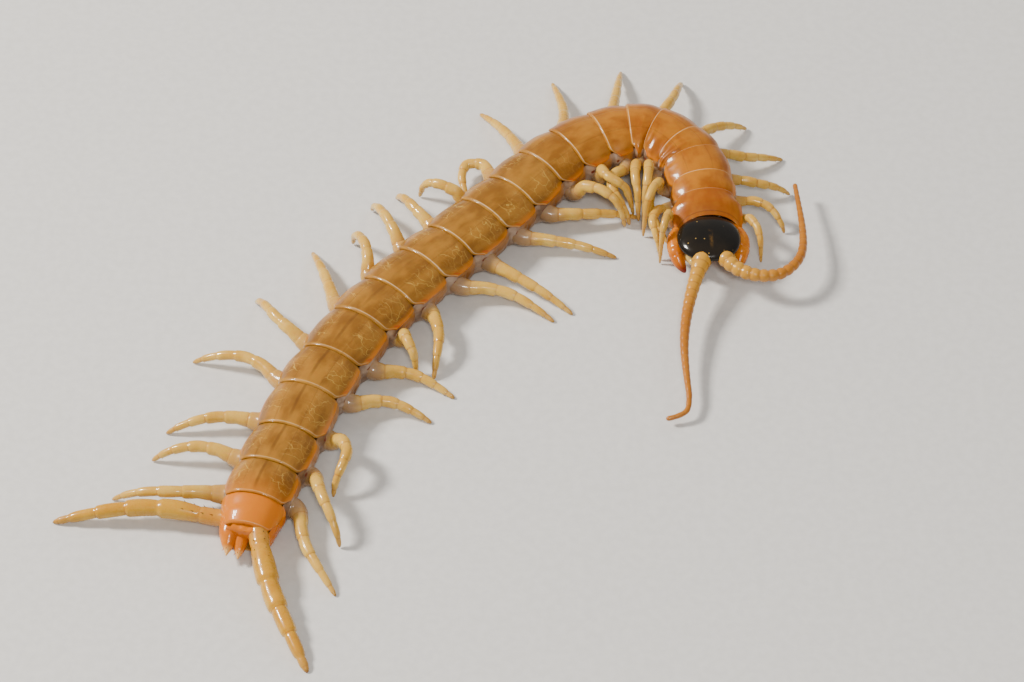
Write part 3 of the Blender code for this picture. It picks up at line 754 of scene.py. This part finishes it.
def build_leg(name, node, points, radii, finish, around, spurs, thick, raised, heel,
              knuckle):
    """Skin of one leg with its articles, the swellings below its joints and its claw."""
    out = (points[1] - points[0]).normalized()
    points = [points[0] - out * ROOT_SUNK, points[0].lerp(points[1], 0.3),
              points[1].lerp(points[2], 0.42)] + points[2:]
    radii = [radii[0] * thick, radii[0] * thick * 0.92, radii[1] * thick ** 0.3] + radii[2:]
    for i, share in enumerate(LIFT_SHARES):
        points[i] = points[i] + UP * raised * share
    path, runs = path_through(points)
    whole = runs[-1]
    start = runs[2]
    joints = [(start + (whole - start) * joint) / whole for joint in LEG_JOINTS]
    stations = [run / whole for run in runs]

    def radius_at(share):
        radius = between_stations(stations, radii, share)
        near = min(abs(share - joint) for joint in joints)
        radius *= 1 - JOINT_WAIST * math.exp(-(near / 0.010) ** 2)
        closing = min(1.0, (1 - share) / 0.02) if share > 0.98 else 1.0
        opening = min(1.0, share / 0.015)
        return radius * math.sqrt(max(0.0, closing * opening))

    def bulge(share, top):
        swell = 1.0
        for near, far in zip(joints, joints[1:]):
            if near <= share <= far:
                local = (share - near) / (far - near)
                swell += knuckle * smooth(0.2, 0.85, local) * smooth(1.0, 0.93, local)
                swell -= knuckle * 0.5 * smooth(0.3, 0.0, local)
                if top < 0:
                    step = smooth(0.1, 0.8, local) * smooth(1.0, 0.9, local)
                    swell += heel * (1 - 0.7 * share) * -top * step
        return swell

    shape = tube(path, radius_at, LEG_STEPS, around, bulge)
    skin_count = len(shape.verts)
    for vert in shape.verts:
        vert.co.z = max(vert.co.z, TOE_CLEARANCE)
    for joint, turn, reach in spurs:
        spot = path(joint)
        ahead = (path(min(1, joint + 0.01)) - path(joint - 0.01)).normalized()
        up = (UP - ahead * ahead.z).normalized()
        way = up * math.cos(turn) + ahead.cross(up) * math.sin(turn)
        spot = spot + way * radius_at(joint - 0.02) * 0.8
        spine(shape, spot, (way * 0.7 + ahead * 0.75).normalized(), SPUR_LENGTH * reach,
              SPUR_RADIUS * reach)
    layer = shape.verts.layers.float.new("joint")
    along = shape.verts.layers.float["along"]
    for vert in shape.verts:
        near = min(abs(vert[along] - joint) for joint in joints)
        vert[layer] = near * whole / MM
    for vert in shape.verts[skin_count:]:
        vert[along] = SPINE_MARK
    return add_piece(name, shape, finish, "legs", node)


def leg_finish(name, root, pale, rich, skin):
    finish, field = start_finish(name)
    along = field.stored("along")
    top = field.stored("top")
    joint = field.stored("joint")
    cloud, fine = field.grains(420, 2300)
    colour = cloud.between(0.35, 0.68).mix(rich, pale)
    colour = (top.between(-0.1, -0.9) * 0.35).mix(colour, pale)
    colour = (top.between(0.3, 0.95) * 0.35).mix(colour, root)
    colour = (along.between(0.30, 0.10) * 0.55).mix(colour, root)
    soft = (along + (cloud - 0.5) * 0.16).between(0.29, 0.11)
    colour = (soft * skin).mix(colour, (0.29, 0.185, 0.115))
    colour = (along.between(0.80, 0.97) * 0.5).mix(colour, (0.40, 0.21, 0.05))
    ring = joint.between(0.12, 0.02)
    colour = (ring * 0.5).mix(colour, (0.30, 0.085, 0.010))
    colour = (along.between(0.97, 0.999) * 0.7).mix(colour, (0.16, 0.06, 0.018))
    colour = along.between(1.05, 1.1).mix(colour, (0.022, 0.007, 0.004))
    height = cloud + fine * 0.5
    return end_finish(finish, Base_Color=colour, Roughness=0.20 + 0.16 * fine,
                      Coat_Weight=0.5, Coat_Roughness=0.03, Specular_IOR_Level=0.2,
                      Subsurface_Weight=0.2, Normal=height.bump(0.3, 0.04 * MM))


LIMBS = {word: leg_finish(f"walking legs {word}", (0.46, 0.21, 0.022),
                          (0.69, 0.445, 0.082), (0.57, 0.32, 0.040), skin)
         for word, skin in (("left", 0.30), ("right", 0.85))}
for number in range(1, LAST):
    for side, word in ((1, "left"), (-1, "right")):
        heading = PLATES[number][1]
        neck = min(1.0, max(0.0, (TRUNK_START - number) / (TRUNK_START - NECK_END)))
        root_share = LEG_ROOT_TRUNK + (LEG_ROOT_NECK - LEG_ROOT_TRUNK) * neck
        root, face = socket(number, side, root_share, LEG_ROOT_HEIGHT)
        sweep, bend, arch, reach = POSES[number][0 if side > 0 else 1]
        length = LEG_LENGTH * (1 - LEG_SHORTER / number) + LEG_GROWTH * number ** 2
        radius = LEG_RADIUS + LEG_SWELL * (1 - math.exp(-number / LEG_SWELL_RUN))
        out = left_of(heading) * side
        middle = edges[number].lerp(edges[number - 1], root_share)
        swell = math.sqrt(max(0.0, math.sin(math.pi * (number - 1) / (LAST - 1))))
        coxa = HIP_SIDE + HIP_SWELL * swell - (root - middle).dot(out)
        narrowing = ROOT_NARROWING + ROOT_WIDENING * (1 - neck)
        pose = (out, heading_vector(heading), sweep, bend)
        points, radii = leg_path(root, face, pose, length * reach, arch * MM, radius, coxa,
                                 narrowing)
        spurs = tuple((SPUR_SHARE, turn * math.pi, 1.0) for turn in (0.8, -0.8))
        build_leg(f"leg_skin_{word}_{number:02d}", f"leg_{word}_{number:02d}", points, radii,
                  LIMBS[word], AROUND, spurs, ROOT_THICK, ROOT_RAISED, HEEL, KNUCKLE)

# Last legs. The hind pair is the longest and stoutest: the left one swings out sideways
# and the right one trails behind, and dark little spines stand on their first articles.
HIND_LENGTH = 19.4 * MM
HIND_RADIUS = 1.3 * MM
HIND_COXA = 0.7 * MM
HIND_ROOT_SIDE = 1.45 * MM
HIND_ROOT_HEIGHT = 2.1 * MM
HIND_ROOT_SHARE = 0.58
HIND_RAISED = 1.15 * MM
HIND_SLIMMER = {"left": 0.84, "right": 0.98}
HIND_HEEL = 0.10
HIND_KNUCKLE = 0.12
HIND_AROUND = 28
HIND_ROOT_THICK = 1.12
# Spines on the last legs: rows down the leg, where they start and their spacing, as shares
SPINE_ROWS = 4
SPINE_START = 0.08
SPINE_SPACING = 0.055
SPINE_SCALE = 1.9
HIND = leg_finish("last legs", (0.52, 0.19, 0.005), (0.55, 0.305, 0.024),
                  (0.45, 0.225, 0.012), 0.1)
for word, side in (("left", 1), ("right", -1)):
    sweep, bend, arch, reach = POSES[LAST][0 if side > 0 else 1]
    out = left_of(tail_heading) * side
    if side > 0:
        root, face = socket(LAST, 1, HIND_ROOT_SHARE, HIND_ROOT_HEIGHT / crest(LAST))
    else:
        drop = TAIL_SLANT / (crest(LAST) * TAIL_SCALE)
        face = -(heading_vector(tail_heading) + Vector((0, 0, drop))).normalized()
        root = slanted(tail + out * HIND_ROOT_SIDE + UP * HIND_ROOT_HEIGHT) + face * GAP
    pose = (out, heading_vector(tail_heading), sweep, bend)
    points, radii = leg_path(root, face, pose, HIND_LENGTH, arch * MM, HIND_RADIUS, HIND_COXA,
                             ROOT_NARROWING)
    spurs = tuple((SPINE_START + SPINE_SPACING * i, turn, SPINE_SCALE)
                  for i in range(SPINE_ROWS) for turn in (-0.5, 0.5 + 0.1 * i, 2.4))
    raised = 0.0 if side > 0 else HIND_RAISED
    radii = [radius * HIND_SLIMMER[word] for radius in radii]
    build_leg(f"hind_leg_skin_{word}", f"leg_{word}_{LAST}", points, radii, HIND, HIND_AROUND,
              spurs, HIND_ROOT_THICK, raised, HIND_HEEL, HIND_KNUCKLE)

# Head. A flat oval shield of black horn with a golden streak down its middle covers the
# mouthparts. Four small eyes stand on each side in front, beside the antennae's sockets.
HEAD_LIFT = 1.3 * MM
HEAD_HALF_LENGTH = 3.9 * MM
HEAD_HALF_WIDTH = 3.98 * MM
HEAD_SQUARENESS = 2.08
HEAD_RIM = 3.1 * MM
HEAD_RISE = 1.4 * MM
HEAD_DEPTH = 0.9 * MM
HEAD_MIDDLE = 3.68 * MM
HEAD_SIDE = -0.25 * MM
EYE_RADIUS = 0.15 * MM
EYES = ((5.25, 2.75, 3.55), (5.65, 2.45, 3.5), (5.3, 2.95, 3.25), (5.75, 2.6, 3.2))


def head_point(forward, side, height):
    """A place given from the middle of the head's back edge, in metres."""
    way = heading_vector(HEAD_HEADING)
    level = Vector((0, 0, height - edges[0].z))
    return edges[0] + way * forward + left_of(HEAD_HEADING) * (side + HEAD_SIDE) + level


def head_finish():
    finish, field = start_finish("head shield")
    across = field.stored("across")
    along = field.stored("along")
    where = field.place()
    cloud, fine = field.grains(300, 2200)
    colour = cloud.between(0.35, 0.75).mix((0.006, 0.005, 0.004), (0.014, 0.010, 0.006))
    streak = (abs(across - 0.03) + cloud * 0.08).between(0.13, 0.04) * along.between(-0.2, 0.15)
    streak = streak * along.between(0.75, 0.4) * (cloud + fine).between(0.8, 1.15)
    colour = (streak * 0.5).mix(colour, (0.13, 0.065, 0.012))
    dots = field.node("TexVoronoi", {"feature": "F1"}, {"Vector": where, "Scale": 1100}, "Distance")
    dots = dots.between(0.13, 0.06) * field.noise(where, 800, 1.0).between(0.44, 0.52)
    colour = (dots * 0.7).mix(colour, (0.42, 0.26, 0.07))
    brim = along.between(-0.8, -0.98) * 0.7
    colour = brim.mix(colour, (0.18, 0.06, 0.015))
    height = cloud + fine * 0.3
    return end_finish(finish, Base_Color=colour, Roughness=0.14 + 0.14 * fine,
                      Coat_Weight=0.35, Coat_Roughness=0.03, Specular_IOR_Level=0.12,
                      Normal=height.bump(0.25, 0.05 * MM))


SHIELD = head_finish()
shape = bmesh.new()
bmesh.ops.create_uvsphere(shape, u_segments=80, v_segments=48, radius=1.0)
mark(shape, "across", lambda spot: spot.x)
mark(shape, "along", lambda spot: spot.y)
for vert in shape.verts:
    u, v, w = vert.co
    spread = (abs(u) ** HEAD_SQUARENESS + abs(v) ** HEAD_SQUARENESS) ** (1 / HEAD_SQUARENESS)
    flat = math.hypot(u, v)
    squared = flat / spread if spread > 0.001 else 1.0
    height = HEAD_RIM + w * (HEAD_RISE if w > 0 else HEAD_DEPTH) + HEAD_LIFT
    if w > 0:
        height -= 0.04 * MM * math.exp(-(u / 0.05) ** 2) * (1 - w * 0.4)
    forward = HEAD_MIDDLE + v * squared * HEAD_HALF_LENGTH
    vert.co = head_point(forward, u * squared * HEAD_HALF_WIDTH, height)
back = head_point(0.05 * MM, 0, 0)
geometry = shape.verts[:] + shape.edges[:] + shape.faces[:]
bmesh.ops.bisect_plane(shape, geom=geometry, dist=WELD, plane_co=back,
                       plane_no=-heading_vector(HEAD_HEADING), clear_outer=True)
rim = [edge for edge in shape.edges if edge.is_boundary]
bmesh.ops.edgeloop_fill(shape, edges=rim)
add_piece("head_shield", shape, SHIELD, "head", "head")

EYE = end_finish(start_finish("eyes")[0], Base_Color=(0.02, 0.018, 0.016, 1), Roughness=0.05,
                 Coat_Weight=1.0)
for side, word in ((1, "left"), (-1, "right")):
    shape = bmesh.new()
    for forward, out, height in EYES:
        made = bmesh.ops.create_icosphere(shape, subdivisions=3, radius=EYE_RADIUS)
        spot = head_point(forward * MM, side * out * MM, height * MM + HEAD_LIFT)
        bmesh.ops.translate(shape, verts=made["verts"], vec=spot)
    add_piece(f"eyes_{word}", shape, EYE, "head", "head")

# Feelers of the mouth. A pair of short pale jointed rods curves below the front of the
# head, between the poison claws and the antennae.
PALPS = {
    1: ((3.6, 3.2, 2.8, 0.45), (4.8, 3.2, 2.6, 0.45), (5.9, 2.8, 2.4, 0.40), (6.8, 2.2, 2.2, 0.2)),
    -1: ((3.9, 3.1, 2.8, 0.45), (5.0, 2.7, 2.6, 0.45), (6.1, 1.8, 2.4, 0.42), (6.9, 0.7, 2.2, 0.2)),
}
PALE_HORN = horn_finish("palps", (0.62, 0.43, 0.13), (0.52, 0.30, 0.06),
                        (0.60, 0.36, 0.10), 0.8)
for side, stations in PALPS.items():
    points = [head_point(forward * MM, side * out * MM, height * MM)
              for forward, out, height, radius in stations]
    path, runs = path_through(points)

    def palp_radius(share):
        radius = along_curve([station[3:] for station in stations], share)[0] * MM
        joint = 1 - 0.12 * math.exp(-((share - 0.45) / 0.03) ** 2)
        return radius * joint * math.sqrt(min(1.0, share * 30) * min(1.0, (1 - share) * 20))

    shape = tube(path, palp_radius, 40, 16)
    add_piece(f"palp_{'left' if side > 0 else 'right'}", shape, PALE_HORN, "head", "head")

# Plate of the poison claws. Below the head a broad plate of orange cuticle closes the
# mouth from below; it ends in front in two rows of small teeth.
BASE_SUNK = 1.0 * MM
BASE_LENGTH = 3.4 * MM
BASE_REAR_HALF = 3.9 * MM
BASE_FRONT_HALF = 3.0 * MM
BASE_HEIGHT = 2.3 * MM
TEETH = 4
TOOTH_FIRST = 0.35
TOOTH_SPACING = 0.42
TOOTH_LENGTH = 0.6 * MM
TOOTH_RADIUS = 0.17 * MM
HORN = horn_finish("poison claws", (0.62, 0.19, 0.002), (0.46, 0.11, 0.001),
                   (0.16, 0.012, 0.004), 0.80)
shape = bmesh.new()
bmesh.ops.create_uvsphere(shape, u_segments=48, v_segments=24, radius=1.0)
mark(shape, "along", lambda spot: 0.3)
for vert in shape.verts:
    u, v, w = vert.co
    forward = (BASE_LENGTH - BASE_SUNK) / 2 + v * (BASE_LENGTH + BASE_SUNK) / 2
    half = BASE_REAR_HALF + (BASE_FRONT_HALF - BASE_REAR_HALF) * (v + 1) / 2
    flat = max(abs(u), abs(v), 0.001) / max(0.001, math.hypot(u, v))
    grown = 1 / max(0.75, flat)
    height = HEAD_LIFT + 0.1 * MM + (w + 1) / 2 * BASE_HEIGHT
    vert.co = head_point(forward, u * grown * half * 0.96, height)
for side in (1, -1):
    for i in range(TEETH):
        spot = head_point(BASE_LENGTH - 0.25 * MM, side * (TOOTH_FIRST + TOOTH_SPACING * i) * MM,
                          HEAD_LIFT + 0.75 * MM)
        spine(shape, spot, heading_vector(HEAD_HEADING), TOOTH_LENGTH, TOOTH_RADIUS)
add_piece("claw_plate", shape, HORN, "forcipules", "trunk_01_02")

# Poison claws. The first pair of legs has turned into curved fangs: a stout first
# article, two short rings and a long point, orange and then red-black at the tip.
CLAW_ROOT_FORWARD = 1.6 * MM
CLAW_ROOT_HEIGHT = 1.0 * MM
CLAW_STATIONS = (
    (1.7, 3.70, 3.0, 1.12), (3.0, 4.05, 3.1, 1.15), (4.4, 4.05, 2.8, 1.02),
    (5.4, 3.80, 2.3, 0.80), (6.1, 3.45, 1.9, 0.54), (6.6, 3.05, 1.5, 0.16),
)
for side, word in ((1, "left"), (-1, "right")):
    narrowing = BASE_REAR_HALF - BASE_FRONT_HALF
    length = BASE_LENGTH + BASE_SUNK
    half = BASE_REAR_HALF - narrowing * (CLAW_ROOT_FORWARD + BASE_SUNK) / length
    root = head_point(CLAW_ROOT_FORWARD, side * half * 0.8, HEAD_LIFT + CLAW_ROOT_HEIGHT)
    points = [root, head_point(0.3 * MM, side * 2.9 * MM, 2.7 * MM)]
    radii = [0.9 * MM, 1.0 * MM]
    for forward, out, height, radius in CLAW_STATIONS:
        points.append(head_point(forward * MM, side * out * MM, height * MM))
        radii.append(radius * MM)
    path, runs = path_through(points)
    shares = [run / runs[-1] for run in runs]
    rings = (shares[4] - 0.035, shares[4] + 0.05, shares[2] - 0.03)

    def claw_radius(share):
        radius = between_stations(shares, radii, share)
        for ring in rings:
            radius *= 1 - 0.10 * math.exp(-((share - ring) / 0.010) ** 2)
        return radius * math.sqrt(min(1.0, share / 0.02) * min(1.0, (1 - share) / 0.03))

    shape = tube(path, claw_radius, 90, 28)
    add_piece(f"poison_claw_{word}", shape, HORN, "forcipules", f"forcipule_{word}")

# Antennae. Long feelers of many short beads taper from pale stout bases to thin reddish
# ends, each bead seated in the one before it.
SOCKET_SIDE = {"left": 1.65 * MM, "right": 1.0 * MM}
SOCKET_FORWARD = 6.6 * MM
SOCKET_SUNK = 2.2 * MM
FEELER_LENGTH = 26.5
FEELER_THICK = 0.7
FEELER_THIN = 0.31
FEELER_TAPER = 1.45
FEELER_ARTICLES = 24
BEAD_WAIST = {"left": 0.11, "right": 0.04}
ROOT_BULB = {"left": 0.05, "right": 0.22}
FEELER_SUNK = 0.6
# Distance from the head in mm, heading in degrees, height in mm
FEELERS = {
    "left": ((0, -74, 4.2), (2, -46, 4.1), (5, -14, 3.9), (7, 7, 3.8), (8.5, 28, 3.7),
             (10, 46, 3.7), (12, 64, 3.6), (14, 80, 3.5), (16, 88, 3.4), (20, 93, 3.2),
             (27, 94, 2.6)),
    "right": ((0, -108, 4.1), (4, -106, 3.5), (8, -101, 2.9), (12, -95, 2.6),
              (16, -88, 2.2), (21, -85, 1.8), (23.5, -100, 1.4), (24.5, -150, 1.2),
              (27, -178, 0.9)),
}


def feeler_finish():
    finish, field = start_finish("antennae")
    along = field.stored("along")
    waist = field.stored("waist")
    cloud, fine = field.grains(520, 3000)
    colour = along.between(0.10, 0.40).mix((0.53, 0.26, 0.022), (0.36, 0.115, 0.004))
    colour = (cloud.between(0.35, 0.7) * 0.25).mix(colour, (0.54, 0.22, 0.015))
    colour = (along.between(0.8, 1.0) * 0.6).mix(colour, (0.36, 0.13, 0.018))
    colour = (waist.between(0.35, 0.9) * 0.40).mix(colour, (0.28, 0.095, 0.012))
    height = cloud + fine
    return end_finish(finish, Base_Color=colour, Roughness=0.22 + 0.2 * fine,
                      Coat_Weight=0.3, Coat_Roughness=0.05, Specular_IOR_Level=0.3,
                      Normal=height.bump(0.4, 0.03 * MM))


BEADS = feeler_finish()
for word, side in (("left", 1), ("right", -1)):
    stations = FEELERS[word]
    place = head_point(SOCKET_FORWARD, side * SOCKET_SIDE[word], 0)
    points = []
    steps = FEELER_ARTICLES * 2
    done = 0.0
    for step in range(steps + 1):
        along = FEELER_LENGTH * step / steps
        for near, far in zip(stations, stations[1:]):
            if near[0] <= along <= far[0]:
                share = (along - near[0]) / (far[0] - near[0])
                heading = near[1] + (far[1] - near[1]) * share
                height = near[2] + (far[2] - near[2]) * share
        place = place + heading_vector(heading) * (along - done) * MM
        done = along
        points.append(Vector((place.x, place.y, height * MM)))
    start = (points[1] - points[0]).normalized()
    path, runs = path_through([points[0] - start * FEELER_SUNK * MM] + points)
    sunk = FEELER_SUNK * MM / runs[-1]

    def bead_phase(share):
        return max(0.0, (share - sunk) / (1 - sunk)) * FEELER_ARTICLES % 1.0

    def feeler_radius(share):
        along = max(0.0, (share - sunk) / (1 - sunk))
        thick = FEELER_THIN + FEELER_THICK * (1 - along) ** FEELER_TAPER
        phase = bead_phase(share)
        waist = math.exp(-(min(phase, 1 - phase) / 0.20) ** 2)
        swell = 0.97 + 0.05 * math.sin(math.pi * phase)
        swell += ROOT_BULB[word] * math.exp(-((along - 0.02) / 0.045) ** 2)
        closing = math.sqrt(min(1.0, share / 0.01) * min(1.0, (1 - share) / 0.012))
        depth = BEAD_WAIST[word] * (1 - 0.65 * smooth(0.3, 0.5, along))
        return thick * MM * (swell - depth * waist) * closing

    shape = tube(path, feeler_radius, 360, 18)
    layer = shape.verts.layers.float.new("waist")
    along_layer = shape.verts.layers.float["along"]
    for vert in shape.verts:
        phase = bead_phase(vert[along_layer])
        vert[layer] = math.exp(-(min(phase, 1 - phase) / 0.12) ** 2)
    add_piece(f"antenna_skin_{word}", shape, BEADS, "antennae", f"antenna_{word}")
    holder = path_through([points[0] - start * SOCKET_SUNK, points[0] - start * 0.8 * MM,
                           points[0] - start * 0.05 * MM])[0]
    shape = tube(holder, lambda t: (0.72 + 0.18 * t) * MM * math.sqrt(min(1.0, (1 - t) / 0.05)
                 * min(1.0, t / 0.02)), 24, 28)
    mark(shape, "across", lambda spot: 0.6)
    add_piece(f"antenna_socket_{word}", shape, SHIELD, "head", "head")

# Stage: a plain pale floor below soft studio light, and the camera where the picture
# was taken from.
FLOOR_SIZE = 4.0
shape = bmesh.new()
bmesh.ops.create_grid(shape, x_segments=1, y_segments=1, size=FLOOR_SIZE / 2)
mesh = bpy.data.meshes.new("floor")
shape.to_mesh(mesh)
shape.free()
floor = bpy.data.objects.new("floor", mesh)
bpy.context.scene.collection.objects.link(floor)
paper, field = start_finish("floor")
grain = field.noise(field.place(), 900, 4.0)
shade = grain.between(0.3, 0.7).mix((0.60, 0.585, 0.56), (0.64, 0.625, 0.60))
mesh.materials.append(end_finish(paper, Base_Color=shade, Roughness=0.7))

world = bpy.data.worlds.new("studio")
bpy.context.scene.world = world
world.use_nodes = True
world.node_tree.nodes["Background"].inputs["Color"].default_value = (1.0, 0.97, 0.93, 1)
world.node_tree.nodes["Background"].inputs["Strength"].default_value = 0.42
# Soft lights: place in metres, watts, size in metres, colour, whether it gives reflections
LIGHTS = (
    ((-0.53, 0.13, 0.47), 9.5, 0.13, (1.0, 0.96, 0.90), True),
    ((0.05, -0.46, 0.55), 2.4, 0.12, (1.0, 0.97, 0.94), True),
    ((0.45, 0.55, 0.45), 1.5, 0.40, (1.0, 1.0, 1.0), False),
)
for place, power, size, tint, glossy in LIGHTS:
    lamp = bpy.data.lights.new("soft light", "AREA")
    lamp.energy = power
    lamp.size = size
    lamp.color = tint
    holder = bpy.data.objects.new("soft light", lamp)
    holder.location = place
    holder.visible_glossy = glossy
    holder.rotation_euler = (-Vector(place)).to_track_quat("-Z", "Y").to_euler()
    bpy.context.scene.collection.objects.link(holder)

LENS = 128.9
SENSOR = 36.0
CAMERA_PLACE = (8.40 * MM, -311.11 * MM, 323.70 * MM)
CAMERA_TILT = 44
lens = bpy.data.cameras.new("camera")
lens.lens = LENS
lens.sensor_width = SENSOR
camera = bpy.data.objects.new("camera", lens)
camera.location = CAMERA_PLACE
camera.rotation_euler = (math.radians(CAMERA_TILT), 0, 0)
bpy.context.scene.collection.objects.link(camera)
bpy.context.scene.camera = camera
